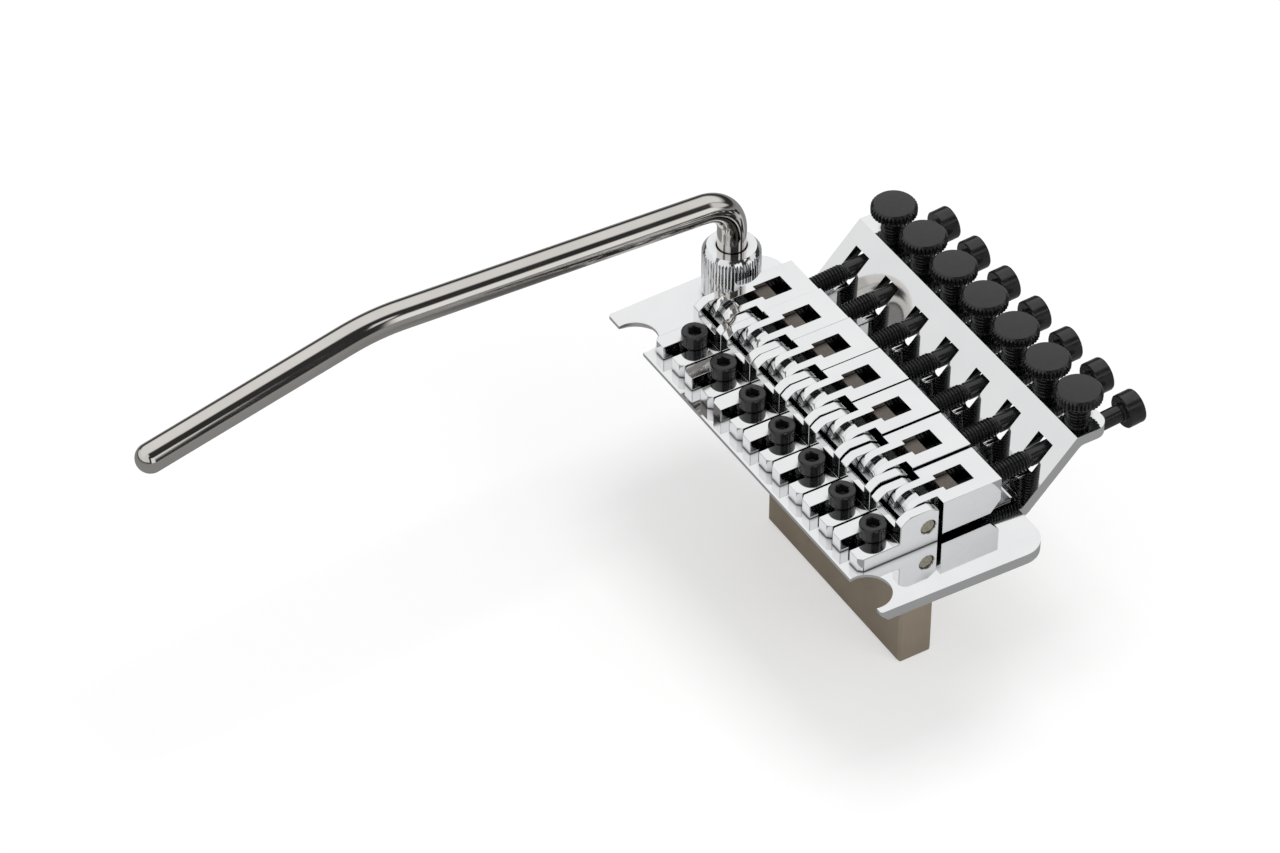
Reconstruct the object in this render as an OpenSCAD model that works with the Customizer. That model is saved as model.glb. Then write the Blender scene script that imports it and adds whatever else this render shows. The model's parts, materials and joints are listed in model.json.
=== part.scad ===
// Floating tremolo bridge for a seven-string electric guitar.
// A knife-edge base plate carries seven hinged saddles that clamp the strings, a raised rear shelf
// with knurled fine tuners, a sustain block below and a swivelling arm on the treble side.
// X runs from the treble side to the bass side, Y towards the fine tuners and Z up.
// The origin is midway between the two pivot stud centres, at the top of the base plate.

/* [Strings] */
// Spacing of the strings
string_pitch = 10.75; // [10.6:0.05:11]
// Side gap between neighbouring saddles
saddle_gap = 0.35; // [0.25:0.05:0.6]
// Radius of the arch that the saddle tops follow
fingerboard_radius = 508; // [400:1:650]

/* [Base plate] */
// Thickness of the base plate, its rear slope and its shelf
plate_t = 2.4; // [2.2:0.1:2.8]
// How far the front edge lies ahead of the pivot line
front_lip = 1; // [0.6:0.1:1.4]
// Distance from the pivot line to the rear edge of the wings
wing_depth = 37.1; // [36.5:0.1:37.6]
// Distance from the arm's post to the side of the treble wing, at the front edge
wing_past_arm = 7.1; // [6.6:0.1:8.5]
// Distance from the bass stud's centre to the side of the bass wing, at the front edge
wing_past_stud = 6.2; // [5.8:0.1:8]
// How much wider each wing is at its rear corner
wing_flare = 1; // [0:0.1:1.6]
// Radius of the rear corner of each wing
wing_corner_r = 5.5; // [3:0.5:7]
// Radius of the tip ahead of each notch
wing_tip_r = 0.6; // [0.3:0.1:0.7]
// Height of the bevel under the front edge
front_bevel = 1.6; // [0.8:0.1:1.8]

/* [Knife edges] */
// Distance from the side of the saddles to each pivot stud's centre
stud_margin = 4.95; // [4.9:0.05:5.4]
// Radius of each knife-edge notch
notch_r = 4.7; // [4.2:0.1:4.9]
// Height of the land that bears on the stud
knife_land = 0.7; // [0.4:0.1:1]
// How much the relief under the land widens
knife_relief = 1.5; // [0.8:0.1:1.8]

/* [Rear slope and shelf] */
// Distance from the pivot line to the foot of the slope
slope_y = 37.9; // [37.7:0.1:38.6]
// Height of the shelf's top
shelf_z = 12.5; // [12:0.1:13]
// Angle of the slope above the plate
slope_angle = 46.3; // [45:0.1:48]
// Distance from the pivot line to the rear edge of the shelf
shelf_rear_y = 57.6; // [57.2:0.1:59]
// Distance from the outermost fine tuners to the sides of the slope and shelf
shelf_margin = 5.95; // [5.7:0.05:6.3]
// Radius of the shelf's rear corners
shelf_corner_r = 3; // [1:0.5:4]
// Inner radius where the slope meets the shelf
shelf_fillet_r = 2; // [1:0.5:2.5]
// Width of each screw slot in the slope
slot_w = 4.8; // [4.6:0.1:5.4]
// Height of the lowest point of each screw slot
slot_bottom_z = 2.4; // [2:0.1:2.6]
// Height of the top of each screw slot
slot_top_z = 9.3; // [9.1:0.1:9.4]

/* [Saddle foot] */
// Distance from the pivot line to the front of the foot
foot_front_y = 1.3; // [0.8:0.1:2]
// Distance from the pivot line to the rear of the foot
foot_rear_y = 19; // [18.8:0.1:19.3]
// Height of the low front block
foot_low_z = 3.2; // [3:0.1:3.4]
// Bevel on the front corners of the low block
foot_front_bevel = 0.9; // [0.4:0.1:1.2]
// Distance from the pivot line to the front wall of the ears
ear_front_y = 10.35; // [10.3:0.05:10.8]
// Height of the outermost ears at their front edge
ear_brow_z = 7.4; // [7:0.1:7.8]
// Length over which the top of the ears rises
ear_brow_l = 2.3; // [1.6:0.1:2.6]
// Share of that rise that the front half of the brow takes
ear_brow_bulge = 0.65; // [0.5:0.05:0.8]
// Height of the outermost ears
ear_top_z = 9; // [8.7:0.1:9.2]
// Length of the slanted rear end of the ears' top
ear_heel_l = 1.8; // [1.2:0.1:2]
// Drop of the slanted rear end of the ears' top
ear_heel_h = 1.1; // [0.6:0.1:1.4]
// Thickness of each ear
ear_t = 2.1; // [1.9:0.05:2.25]
// Height of the ledge between the ears on the outermost saddles
ledge_z = 6; // [5.6:0.1:6.3]
// Depth of the ledge between the ears
ledge_l = 1.9; // [1.6:0.1:2]
// Length of the slanted rear part of the ledge
ledge_slant_l = 0.7; // [0.4:0.1:1]
// Thickness of the floor under the tongue
foot_floor_t = 0.9; // [0.7:0.1:1]
// Width of the slot that the intonation screw passes through
foot_slot_w = 3.2; // [3.1:0.1:3.6]

/* [Saddle pivot] */
// Distance from the pivot line to the hinge pin of the saddles
pin_y = 16.7; // [16.5:0.1:16.8]
// Height of the hinge pin on the outermost saddles
pin_z = 4.6; // [4.4:0.1:4.8]
// Diameter of the hinge pin
pin_d = 3.3; // [3:0.1:3.4]
// How far the pin's ends lie inside the foot
pin_recess = 0.35; // [0.2:0.05:0.6]

/* [String block] */
// Distance from the pivot line to the shoulders of the string block
shoulder_y = 19.95; // [19.8:0.05:20.2]
// Distance from the pivot line to the rear of the string block
block_rear_y = 33.2; // [32.8:0.1:33.6]
// Height of the outermost blocks
block_top_z = 9.3; // [9.1:0.1:9.6]
// Height of the underside of the outermost blocks
block_bottom_z = 1.3; // [1.1:0.1:1.5]
// Length of the bevel under the block's rear
block_bevel_l = 2.2; // [1.4:0.1:2.6]
// Height of the bevel under the block's rear
block_bevel_h = 2.6; // [1.6:0.1:3]
// Distance from the pivot line to the front of the tongue
tongue_front_y = 12.75; // [12.6:0.05:13]
// Radius of the tongue's front above the pin
tongue_nose_r = 3.6; // [3:0.1:3.8]
// Radius of the tongue's front below the pin
tongue_chin_r = 1.6; // [1:0.1:2]
// Wall of the tongue under its pin
tongue_wall = 1.2; // [0.9:0.1:1.4]
// Side gap between the tongue and each ear
tongue_gap = 0.15; // [0.1:0.05:0.25]
// Width of the string channel
channel_w = 2.5; // [2:0.1:2.8]
// Height of the channel's floor above the block's underside
channel_floor = 4.9; // [4.6:0.1:5.4]
// How far the string rest lies below the top of the tongue
rest_drop = 0.8; // [0.5:0.1:1.2]
// Length of the rest's level part behind the tongue's rounded front
rest_l = 0.6; // [0.3:0.1:1]
// Length over which the rest falls to the channel's floor
rest_fall_l = 2.2; // [1.6:0.1:2.6]
// Distance from the pivot line to the front of the string pocket
pocket_front_y = 22.4; // [22.2:0.1:22.6]
// Length of the string pocket
pocket_l = 6.3; // [6.1:0.1:6.6]
// Width of the string pocket
pocket_w = 4.7; // [4.4:0.1:5]
// Thickness of the floor under the string pocket
pocket_floor_t = 1.5; // [1.2:0.1:1.8]

/* [String insert] */
// Length of the insert that clamps the string
insert_l = 3.4; // [3:0.1:3.6]
// Distance from the block's top down to the insert
insert_drop = 1; // [0.7:0.1:1.6]
// Gap between the insert and the pocket's walls
insert_gap = 0.05; // [0.03:0.01:0.1]

/* [Lock screw] */
// Thread diameter of the lock screw
lock_thread_d = 4; // [3.6:0.1:4]
// Diameter of the lock screw's flat tip
lock_tip_d = 2.6; // [2.2:0.1:3]
// Length of the bevel behind that tip
lock_tip_l = 0.7; // [0.4:0.1:1]
// Length of the thread behind the block
lock_thread_out = 8.2; // [7:0.1:8.6]
// Diameter of the neck behind the thread
lock_neck_d = 3.3; // [3:0.1:3.4]
// Length of the neck behind the thread
lock_neck_l = 4; // [3:0.1:5]
// Diameter of the shaft under the fine tuner
lock_shaft_d = 3.6; // [3.4:0.1:3.6]
// Distance from the pivot line to the centre of the head
lock_head_y = 66.3; // [66:0.1:67]
// Diameter of the head
lock_head_d = 7; // [6.6:0.1:7.2]
// Length of the head
lock_head_l = 3.8; // [3.4:0.1:4]
// Height of the screw's axis at the block's rear, on the outermost saddles
lock_z_block = 5.1; // [5:0.1:5.3]
// Height of the screw's axis at its head
lock_z_head = 7.95; // [7.7:0.05:8.1]

/* [Screw sockets] */
// Width across the flats of the lock screws' hex sockets
lock_hex = 3; // [2.5:0.1:3.2]
// Width across the flats of the intonation screws' hex sockets
intonation_hex = 2.5; // [2:0.1:2.6]
// Depth of the hex sockets
hex_depth = 1.9; // [1.4:0.1:2.2]

/* [Intonation screw] */
// Distance from the pivot line to the intonation screws
screw_y = 7.5; // [7.4:0.05:7.6]
// Thread diameter of the intonation screw
screw_thread_d = 2.9; // [2.6:0.1:2.9]
// Head diameter of the intonation screw
screw_head_d = 5.4; // [5:0.1:5.5]
// Head height of the intonation screw
screw_head_h = 3; // [2.6:0.1:3.2]

/* [Fine tuner] */
// Distance from the fine tuners to the rear edge of the shelf
tuner_margin = 3.67; // [3.5:0.01:4]
// Height of the knobs' tops
tuner_top_z = 18.8; // [18.4:0.1:19.2]
// Diameter of the knob over its knurl
knob_d = 9.5; // [9:0.1:9.8]
// Thickness of the knob
knob_t = 2.7; // [2.3:0.1:3]
// Smooth rim under and over the knob's knurl
knob_rim = 0.4; // [0.2:0.1:0.6]
// Number of teeth of the knurl
knob_teeth = 36; // [24:1:44]
// Depth of the knurl
knob_tooth_h = 0.3; // [0.15:0.05:0.4]
// Diameter of the collar under the knob
tuner_collar_d = 6.4; // [6:0.1:7]
// Height of the collar under the knob
tuner_collar_h = 0.7; // [0.4:0.1:0.9]
// Thread diameter of the fine tuner
tuner_thread_d = 5; // [4.6:0.1:5]
// Diameter of the fine tuner's flat tip
tuner_tip_d = 3; // [2:0.1:3.6]
// Length of the bevel above that tip
tuner_tip_l = 0.8; // [0.4:0.1:1.2]
// Gap between the tuner's tip and the lock screw's shaft
tuner_tip_gap = 0.08; // [0.05:0.01:0.2]

/* [Sustain block] */
// Width of the sustain block
sustain_w = 48.5; // [46:0.5:52]
// Thickness of the sustain block
sustain_t = 7.8; // [7.4:0.1:9]
// Height of the sustain block
sustain_h = 42; // [32:1:44]
// Distance from the pivot line to the middle of the sustain block
sustain_y = 24.3; // [24:0.1:25]
// Bevel on the sustain block's edges
sustain_bevel = 0.5; // [0.3:0.1:1]
// Diameter of the spring holes
spring_hole_d = 3.2; // [2.6:0.1:3.6]
// Depth of the spring holes
spring_hole_depth = 9; // [6:0.5:12]
// Distance from the outermost spring holes to the block's ends
spring_margin = 3.25; // [2.8:0.05:5]
// Thread diameter of the screws that hold the block
block_screw_d = 4; // [3.5:0.1:4]
// Length of those screws
block_screw_l = 13; // [9:0.5:14]
// Head diameter of those screws
block_screw_head_d = 7.4; // [6.8:0.1:7.6]
// Distance from the outermost of those screws to the block's ends
block_screw_margin = 8.25; // [7:0.25:11]

/* [Leaf springs] */
// Thickness of the spring leaf
leaf_t = 0.4; // [0.3:0.05:0.5]
// Width of each spring finger
leaf_finger_w = 6; // [5:0.1:7]
// Distance from the pivot line to the crown of the fingers
leaf_crown_y = 28; // [27.5:0.1:29]
// Distance from the pivot line to the front of the spring's strip
leaf_strip_y = 33.6; // [33.4:0.1:34]
// Depth of the spring's strip
leaf_strip_l = 3.6; // [3.4:0.1:3.8]
// Thread diameter of the spring's screws
leaf_screw_d = 2.4; // [2:0.1:2.6]

/* [Arm] */
// Distance from the pivot line to the arm's post
arm_y = 23.4; // [22:0.1:24]
// Diameter of the arm
arm_d = 6; // [5.6:0.1:6]
// Heading of the arm at rest, seen from above
arm_heading = -87; // [-95:1:-75]
// Height of the corner above the post
arm_corner_z = 24.4; // [24:0.1:27]
// Bend radius of the corner, on the arm's axis
arm_corner_r = 8; // [6.5:0.5:9]
// Slope of the first straight
arm_rise = 5.3; // [2:0.1:8]
// Reach of the first straight from the post
arm_knee_reach = 83.1; // [70:0.1:95]
// Slope of the second straight
arm_fall = 10.5; // [6:0.1:13]
// Bend radius of the knee, on the arm's axis
arm_knee_r = 45; // [20:1:60]
// Reach of the rounded tip from the post
arm_tip_reach = 132.3; // [120:0.1:140]
// Height of the post's lower end
arm_foot_z = -8.4; // [-8.8:0.1:-7]
// Bevel at the post's lower end
arm_foot_bevel = 0.8; // [0.4:0.1:1.2]
// Diameter of the ring on the post that the collar holds down
arm_ring_d = 7.4; // [7:0.1:7.5]
// Thickness of that ring
arm_ring_t = 0.3; // [0.2:0.05:0.4]

/* [Arm collar and socket] */
// Diameter of the collar over its knurl
collar_d = 12; // [11.5:0.1:12.4]
// Gap between the collar and the first saddle
collar_saddle_gap = 0.75; // [0.5:0.05:1.2]
// Height of the collar's top
collar_top_z = 12.8; // [12.4:0.1:13.2]
// Height of the collar's underside
collar_bottom_z = 1.3; // [1.2:0.1:2]
// Thickness of the collar's roof
collar_roof_t = 2; // [1.5:0.1:2.4]
// Height of the smooth bevel round the collar's top
collar_bevel_h = 1.2; // [0.8:0.1:1.8]
// Width of the smooth bevel round the collar's top
collar_bevel_w = 0.9; // [0.4:0.1:1.1]
// Height of the groove between the bevel and the knurl
collar_groove_h = 0.2; // [0.2:0.05:0.6]
// Number of teeth of the collar's knurl
collar_teeth = 52; // [30:1:60]
// Depth of the collar's knurl
collar_tooth_h = 0.3; // [0.15:0.05:0.4]
// Thread diameter of the socket
socket_d = 8; // [7.6:0.1:8.4]
// Height of the socket's top
socket_top_z = 9; // [8:0.1:9.2]
// Diameter of the socket's flange under the plate
socket_flange_d = 11; // [10:0.1:12]
// Thickness of the socket's flange
socket_flange_t = 2; // [1.5:0.1:2.5]
// Height of the socket's lower end
socket_bottom_z = -10; // [-11:0.1:-9.6]
// Thickness of the nut that holds the socket
socket_nut_t = 1.1; // [0.9:0.1:1.1]
// Width across the flats of the nut
socket_nut_w = 10; // [9.6:0.1:10.2]
// Depth of the socket's blind bore below the arm's end
socket_floor_gap = 0.6; // [0.3:0.1:0.8]

/* [Fits] */
// Clearance of each thread in its hole
thread_clearance = 0.05; // [0.03:0.01:0.08]
// Clearance of the hinge pins in the tongues
pin_clearance = 0.04; // [0.02:0.01:0.08]
// Clearance of the arm in its socket
arm_clearance = 0.06; // [0.03:0.01:0.1]
// Clearance of the arm in the collar's roof
collar_clearance = 0.15; // [0.1:0.01:0.3]
// Gap between faces that press on each other
seat_gap = 0.02; // [0.01:0.01:0.04]

/* [Hidden] */
string_count = 7;
strings = [0 : string_count - 1];
middle_string = (string_count - 1) / 2;
nothing = 0.01;
overcut = 1;
rod_lap = 0.1;
knurl_root = 0.06;
cap_bevel = 0.35;
circle_fn = 64;
fine_fn = 48;

saddle_w = string_pitch - saddle_gap;
saddles_side_x = middle_string * string_pitch + saddle_w / 2;
notch_x = saddles_side_x + stud_margin;
arm_x = saddles_side_x + collar_saddle_gap + collar_d / 2;
wing_treble = arm_x + wing_past_arm;
wing_bass = notch_x + wing_past_stud;
shelf_w = 2 * (middle_string * string_pitch + shelf_margin);
spring_holes = 5;
spring_pitch = (sustain_w - 2 * spring_margin) / (spring_holes - 1);
block_screw_pitch = sustain_w / 2 - block_screw_margin;
slope_top_y = slope_y + shelf_z / tan(slope_angle);
tuner_y = shelf_rear_y - tuner_margin;
shelf_under_z = shelf_z - plate_t;
tongue_w = saddle_w - 2 * ear_t - 2 * tongue_gap;
arm_turn_1 = 90 - arm_rise;
arm_turn_2 = arm_rise + arm_fall;
collar_roof_z = collar_top_z - collar_roof_t;
arm_ring_z = (socket_top_z + collar_roof_z - arm_ring_t) / 2;
washer_t = (collar_roof_z - socket_top_z - arm_ring_t) / 2 - 2 * seat_gap;
leaf_screw_y = leaf_strip_y + leaf_strip_l / 2;

per_string = ["saddle_foot", "saddle_pin", "intonation_screw", "string_block", "string_insert",
              "lock_screw", "fine_tuner"];
single = ["base_plate", "sustain_block", "block_screws", "leaf_springs", "leaf_screws", "arm_socket",
          "socket_nut", "friction_washers", "arm_collar", "tremolo_arm"];

// Diameter of the hole for a thread of diameter d
function loose(d) = d + 2 * thread_clearance;

// Place of string i across the bridge
function string_x(i) = (i - middle_string) * string_pitch;

// Height of the arch at string i above the outermost strings
function rise(i) =
    sqrt(pow(fingerboard_radius, 2) - pow(string_x(i), 2))
    - sqrt(pow(fingerboard_radius, 2) - pow(string_x(0), 2));

// Slope of the axis of lock screw i
function lock_angle(i) = atan((lock_z_head - lock_z_block - rise(i)) / (lock_head_y - block_rear_y));

// Height of the axis of lock screw i at distance y from the pivot line
function lock_z(i, y) = lock_z_block + rise(i) + (y - block_rear_y) * tan(lock_angle(i));

// Height of the highest point of lock screw i's shaft under its fine tuner's tip
function shaft_top_z(i) = lock_z(i, tuner_y + tuner_tip_d / 2) + lock_shaft_d / 2 / cos(lock_angle(i));

// Extrudes an outline drawn in Y and Z along X, centred on the string
module across(width) {
    rotate([90, 0, 90])
        linear_extrude(height = width, center = true)
            children();
}

// Round hole or rod along X, centred at a place in Y and Z
module rod_across(y, z, d, length) {
    translate([0, y, z])
        rotate([0, 90, 0])
            cylinder(d = d, h = length, center = true, $fn = fine_fn);
}

// Hex socket, sunk from the origin downwards
module hex_socket(flats) {
    translate([0, 0, -hex_depth])
        cylinder(d = flats / cos(30), h = hex_depth + overcut, $fn = 6);
}

// Outline of a straight knurl with triangular teeth
module knurl_outline(r, teeth, depth) {
    polygon([for (k = [0 : 2 * teeth - 1])
        (k % 2 == 0 ? r : r - depth) * [cos(180 * k / teeth), sin(180 * k / teeth)]]);
}

// One wing's outline with rounded tip and rear corner, from the centre line to the side
module wing_outline(front_half) {
    flare_angle = atan(wing_flare / wing_depth);
    rear_y = wing_depth - wing_corner_r;
    rear_x = front_half + rear_y * tan(flare_angle) - wing_corner_r / cos(flare_angle);
    tip_y = -front_lip + wing_tip_r;
    tip_x = front_half + tip_y * tan(flare_angle) - wing_tip_r / cos(flare_angle);
    side = [cos(flare_angle), -sin(flare_angle)];
    polygon([
        [0, -front_lip],
        [tip_x, -front_lip],
        [tip_x, tip_y] + wing_tip_r * side,
        [rear_x, rear_y] + wing_corner_r * side,
        [rear_x, wing_depth],
        [0, wing_depth]
    ]);
    translate([tip_x, tip_y])
        circle(r = wing_tip_r, $fn = circle_fn);
    translate([rear_x, rear_y])
        circle(r = wing_corner_r, $fn = circle_fn);
}

module shelf_outline() {
    inner_w = shelf_w - 2 * shelf_corner_r;
    front_y = slope_top_y;
    translate([-shelf_w / 2, front_y])
        square([shelf_w, shelf_rear_y - shelf_corner_r - front_y]);
    translate([-inner_w / 2, front_y])
        square([inner_w, shelf_rear_y - front_y]);
    for (side = [-1, 1])
        translate([side * inner_w / 2, shelf_rear_y - shelf_corner_r])
            circle(r = shelf_corner_r, $fn = circle_fn);
}

// Side outline of the slope, with its rounded heel and the fillet under the shelf
module slope_outline() {
    under = plate_t * [sin(slope_angle), -cos(slope_angle)];
    along = [cos(slope_angle), sin(slope_angle)];
    heel = [slope_y, 0];
    under_corner = heel + under + along * (shelf_under_z - under[1]) / along[1];
    fillet_t = shelf_fillet_r * tan(slope_angle / 2);
    fillet_centre = [under_corner[0] + fillet_t, shelf_under_z - shelf_fillet_r];
    polygon([heel, [slope_top_y, shelf_z], [slope_top_y + plate_t, shelf_z],
        [under_corner[0] + fillet_t, shelf_under_z], under_corner, heel + under]);
    intersection() {
        translate(heel)
            circle(r = plate_t, $fn = circle_fn);
        translate([slope_y - nothing, -plate_t])
            square([plate_t + nothing, plate_t]);
    }
    translate([wing_depth - 2 * plate_t, -plate_t])
        square([slope_y - wing_depth + 2 * plate_t, plate_t]);
    difference() {
        polygon([
            under_corner,
            [fillet_centre[0], shelf_under_z],
            fillet_centre,
            under_corner - along * fillet_t
        ]);
        translate(fillet_centre)
            circle(r = shelf_fillet_r, $fn = circle_fn);
    }
}

// Slot in the slope that lock screw i passes through
module screw_slot(i) {
    slot_r = slot_w / 2;
    translate([string_x(i), shelf_rear_y - plate_t, 0])
        rotate([90, 0, 0])
            linear_extrude(height = shelf_rear_y - plate_t - slope_y + overcut) {
                translate([0, slot_bottom_z + slot_r])
                    circle(r = slot_r, $fn = fine_fn);
                translate([-slot_r, slot_bottom_z + slot_r])
                    square([slot_w, slot_top_z - slot_bottom_z - slot_r]);
            }
}

// Knife-edge notch: a thin land at the top and a widening relief below
module knife_notch() {
    relief_h = plate_t - knife_land + 2 * nothing;
    translate([0, 0, -knife_land])
        cylinder(r = notch_r, h = knife_land + overcut, $fn = circle_fn);
    translate([0, 0, -plate_t - nothing])
        cylinder(r1 = notch_r + knife_relief, r2 = notch_r, h = relief_h, $fn = circle_fn);
}

// Countersunk hole or screw, its head flush with the plane through the origin
module countersunk(d, head_d, length) {
    translate([0, 0, -length])
        cylinder(d = d, h = length, $fn = fine_fn);
    translate([0, 0, -(head_d - d) / 2])
        cylinder(d1 = d, d2 = head_d, h = (head_d - d) / 2, $fn = fine_fn);
}

module base_plate() {
    color("gainsboro")
        difference() {
            union() {
                translate([0, 0, -plate_t])
                    linear_extrude(height = plate_t) {
                        wing_outline(wing_bass);
                        mirror([1, 0])
                            wing_outline(wing_treble);
                    }
                across(shelf_w)
                    slope_outline();
                translate([0, 0, shelf_under_z])
                    linear_extrude(height = plate_t)
                        shelf_outline();
            }
            for (side = [-1, 1])
                translate([side * notch_x, 0, 0])
                    knife_notch();
            across(2 * wing_treble + overcut)
                polygon([
                    [-front_lip - overcut, -plate_t + front_bevel + overcut],
                    [-front_lip + front_bevel + overcut, -plate_t - overcut],
                    [-front_lip - overcut, -plate_t - overcut]
                ]);
            for (i = strings) {
                screw_slot(i);
                translate([string_x(i), screw_y, -plate_t - overcut])
                    cylinder(d = loose(screw_thread_d), h = plate_t + 2 * overcut, $fn = fine_fn);
                translate([string_x(i), tuner_y, shelf_under_z - overcut])
                    cylinder(d = loose(tuner_thread_d), h = plate_t + 2 * overcut, $fn = fine_fn);
            }
            for (k = [-1 : 1])
                translate([k * block_screw_pitch, sustain_y, nothing])
                    countersunk(loose(block_screw_d), loose(block_screw_head_d),
                        plate_t + overcut);
            at_leaf_screws(-plate_t - overcut)
                cylinder(d = loose(leaf_screw_d), h = plate_t + 2 * overcut, $fn = fine_fn);
            translate([-arm_x, arm_y, -plate_t - overcut])
                cylinder(d = loose(socket_d), h = plate_t + 2 * overcut, $fn = fine_fn);
        }
}

module sustain_block() {
    half_w = sustain_w / 2;
    half_t = sustain_t / 2;
    b = sustain_bevel;
    sustain_foot_z = -plate_t - sustain_h;
    color("darkkhaki")
        difference() {
            translate([0, sustain_y, sustain_foot_z])
                intersection() {
                    linear_extrude(height = sustain_h)
                        polygon([[-half_w + b, -half_t], [half_w - b, -half_t], [half_w, -half_t + b],
                            [half_w, half_t - b], [half_w - b, half_t], [-half_w + b, half_t],
                            [-half_w, half_t - b], [-half_w, -half_t + b]]);
                    across(sustain_w)
                        polygon([[-half_t, b], [-half_t + b, 0], [half_t - b, 0], [half_t, b],
                            [half_t, sustain_h], [-half_t, sustain_h]]);
                }
            for (k = [0 : spring_holes - 1])
                translate([spring_margin - half_w + k * spring_pitch, sustain_y, sustain_foot_z - overcut])
                    cylinder(d = spring_hole_d, h = spring_hole_depth + overcut, $fn = fine_fn);
            for (k = [-1 : 1])
                translate([k * block_screw_pitch, sustain_y, -block_screw_l - overcut])
                    cylinder(d = loose(block_screw_d), h = block_screw_l + overcut, $fn = fine_fn);
        }
}

module block_screws() {
    color("dimgray")
        for (k = [-1 : 1])
            translate([k * block_screw_pitch, sustain_y, 0])
                difference() {
                    countersunk(block_screw_d, block_screw_head_d, block_screw_l);
                    hex_socket(intonation_hex);
                }
}

// Places a form at each screw of the leaf springs, between two strings
module at_leaf_screws(z) {
    for (side = [-1, 1], steps = [1, 5])
        translate([side * steps * string_pitch / 2, leaf_screw_y, z])
            children();
}

// One comb of leaf springs: a strip held down by screws, and a finger under each string block
module leaf_springs() {
    strip_rear_y = leaf_strip_y + leaf_strip_l;
    color("lightsteelblue")
        difference() {
            union() {
                translate([string_x(0) - leaf_finger_w / 2, leaf_strip_y, 0])
                    cube([string_x(string_count - 1) - string_x(0) + leaf_finger_w, leaf_strip_l, leaf_t]);
                for (i = strings) {
                    crown_z = block_bottom_z + rise(i) - seat_gap;
                    translate([string_x(i), 0, 0])
                        across(leaf_finger_w)
                            polygon([[leaf_strip_y + nothing, 0], [leaf_strip_y + nothing, leaf_t],
                                [leaf_crown_y + 1, crown_z], [leaf_crown_y, crown_z],
                                [leaf_crown_y - 1, crown_z - leaf_t],
                                [leaf_crown_y - 1, crown_z - 2 * leaf_t],
                                [leaf_crown_y, crown_z - leaf_t],
                                [leaf_crown_y + 1, crown_z - leaf_t]]);
                }
            }
            at_leaf_screws(leaf_t + nothing)
                countersunk(loose(leaf_screw_d), leaf_screw_d + 2 * leaf_t + 2 * thread_clearance,
                    leaf_t + overcut);
        }
}

module leaf_screws() {
    color("dimgray")
        at_leaf_screws(leaf_t)
            countersunk(leaf_screw_d, leaf_screw_d + 2 * leaf_t, leaf_t + plate_t);
}

// Threaded tube for the arm, pushed up through the plate until its flange stops it
module arm_socket() {
    color("silver")
        translate([-arm_x, arm_y, 0])
            difference() {
                union() {
                    translate([0, 0, socket_bottom_z])
                        cylinder(d = socket_d, h = socket_top_z - socket_bottom_z, $fn = fine_fn);
                    translate([0, 0, -plate_t - socket_flange_t])
                        cylinder(d = socket_flange_d, h = socket_flange_t, $fn = fine_fn);
                }
                translate([0, 0, arm_foot_z - socket_floor_gap])
                    cylinder(d = arm_d + 2 * arm_clearance,
                        h = socket_top_z - arm_foot_z + socket_floor_gap + overcut, $fn = fine_fn);
            }
}

module socket_nut() {
    color("silver")
        translate([-arm_x, arm_y, 0])
            difference() {
                cylinder(d = socket_nut_w / cos(30), h = socket_nut_t, $fn = 6);
                translate([0, 0, -overcut])
                    cylinder(d = loose(socket_d), h = socket_nut_t + 2 * overcut, $fn = fine_fn);
            }
}

// Two plastic washers, under and over the ring on the arm's post
module friction_washers() {
    color("ivory")
        translate([-arm_x, arm_y, socket_top_z + seat_gap])
            for (k = [0, 1])
                translate([0, 0, k * (washer_t + arm_ring_t + 2 * seat_gap)])
                    difference() {
                        cylinder(d = socket_d - 2 * thread_clearance, h = washer_t, $fn = fine_fn);
                        translate([0, 0, -overcut])
                            cylinder(d = arm_d + 2 * arm_clearance, h = washer_t + 2 * overcut,
                                $fn = fine_fn);
                    }
}

module arm_collar() {
    bevel_z = collar_top_z - collar_bevel_h;
    core_r = collar_d / 2 - collar_tooth_h - knurl_root;
    color("gainsboro")
        translate([-arm_x, arm_y, 0])
            difference() {
                union() {
                    translate([0, 0, collar_bottom_z])
                        linear_extrude(height = bevel_z - collar_groove_h - collar_bottom_z)
                            knurl_outline(collar_d / 2, collar_teeth, collar_tooth_h);
                    translate([0, 0, collar_bottom_z + overcut])
                        cylinder(r = core_r, h = bevel_z - collar_bottom_z, $fn = circle_fn);
                    translate([0, 0, bevel_z])
                        cylinder(d1 = collar_d, d2 = collar_d - 2 * collar_bevel_w, h = collar_bevel_h,
                            $fn = circle_fn);
                }
                translate([0, 0, collar_bottom_z - overcut])
                    cylinder(d = loose(socket_d),
                        h = collar_roof_z - collar_bottom_z + overcut, $fn = fine_fn);
                cylinder(d = arm_d + 2 * collar_clearance, h = collar_top_z + overcut, $fn = fine_fn);
            }
}

// Bend of a round rod that starts along Z and turns towards X
module rod_bend(bend_r, angle, d) {
    translate([bend_r, 0, 0])
        rotate([90, 0, 180])
            rotate_extrude(angle = angle, $fn = circle_fn)
                translate([bend_r, 0])
                    circle(d = d, $fn = fine_fn);
}

// Moves to the end of such a bend
module past_bend(bend_r, angle) {
    translate([bend_r * (1 - cos(angle)), 0, bend_r * sin(angle)])
        rotate([0, angle, 0])
            children();
}

// Straight stretch of the rod, a hair thinner than the bends and let into them at both ends
module rod_straight(length, d) {
    translate([0, 0, -rod_lap])
        cylinder(d = d - 2 * nothing, h = length + 2 * rod_lap, $fn = fine_fn);
}

// Half outline of such a stretch with a round tip at its far end
module rod_tip_outline(length, d) {
    r = d / 2 - nothing;
    translate([0, -rod_lap])
        square([r, length + rod_lap]);
    translate([0, length])
        intersection() {
            circle(r = r, $fn = fine_fn);
            square(r);
        }
}

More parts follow.
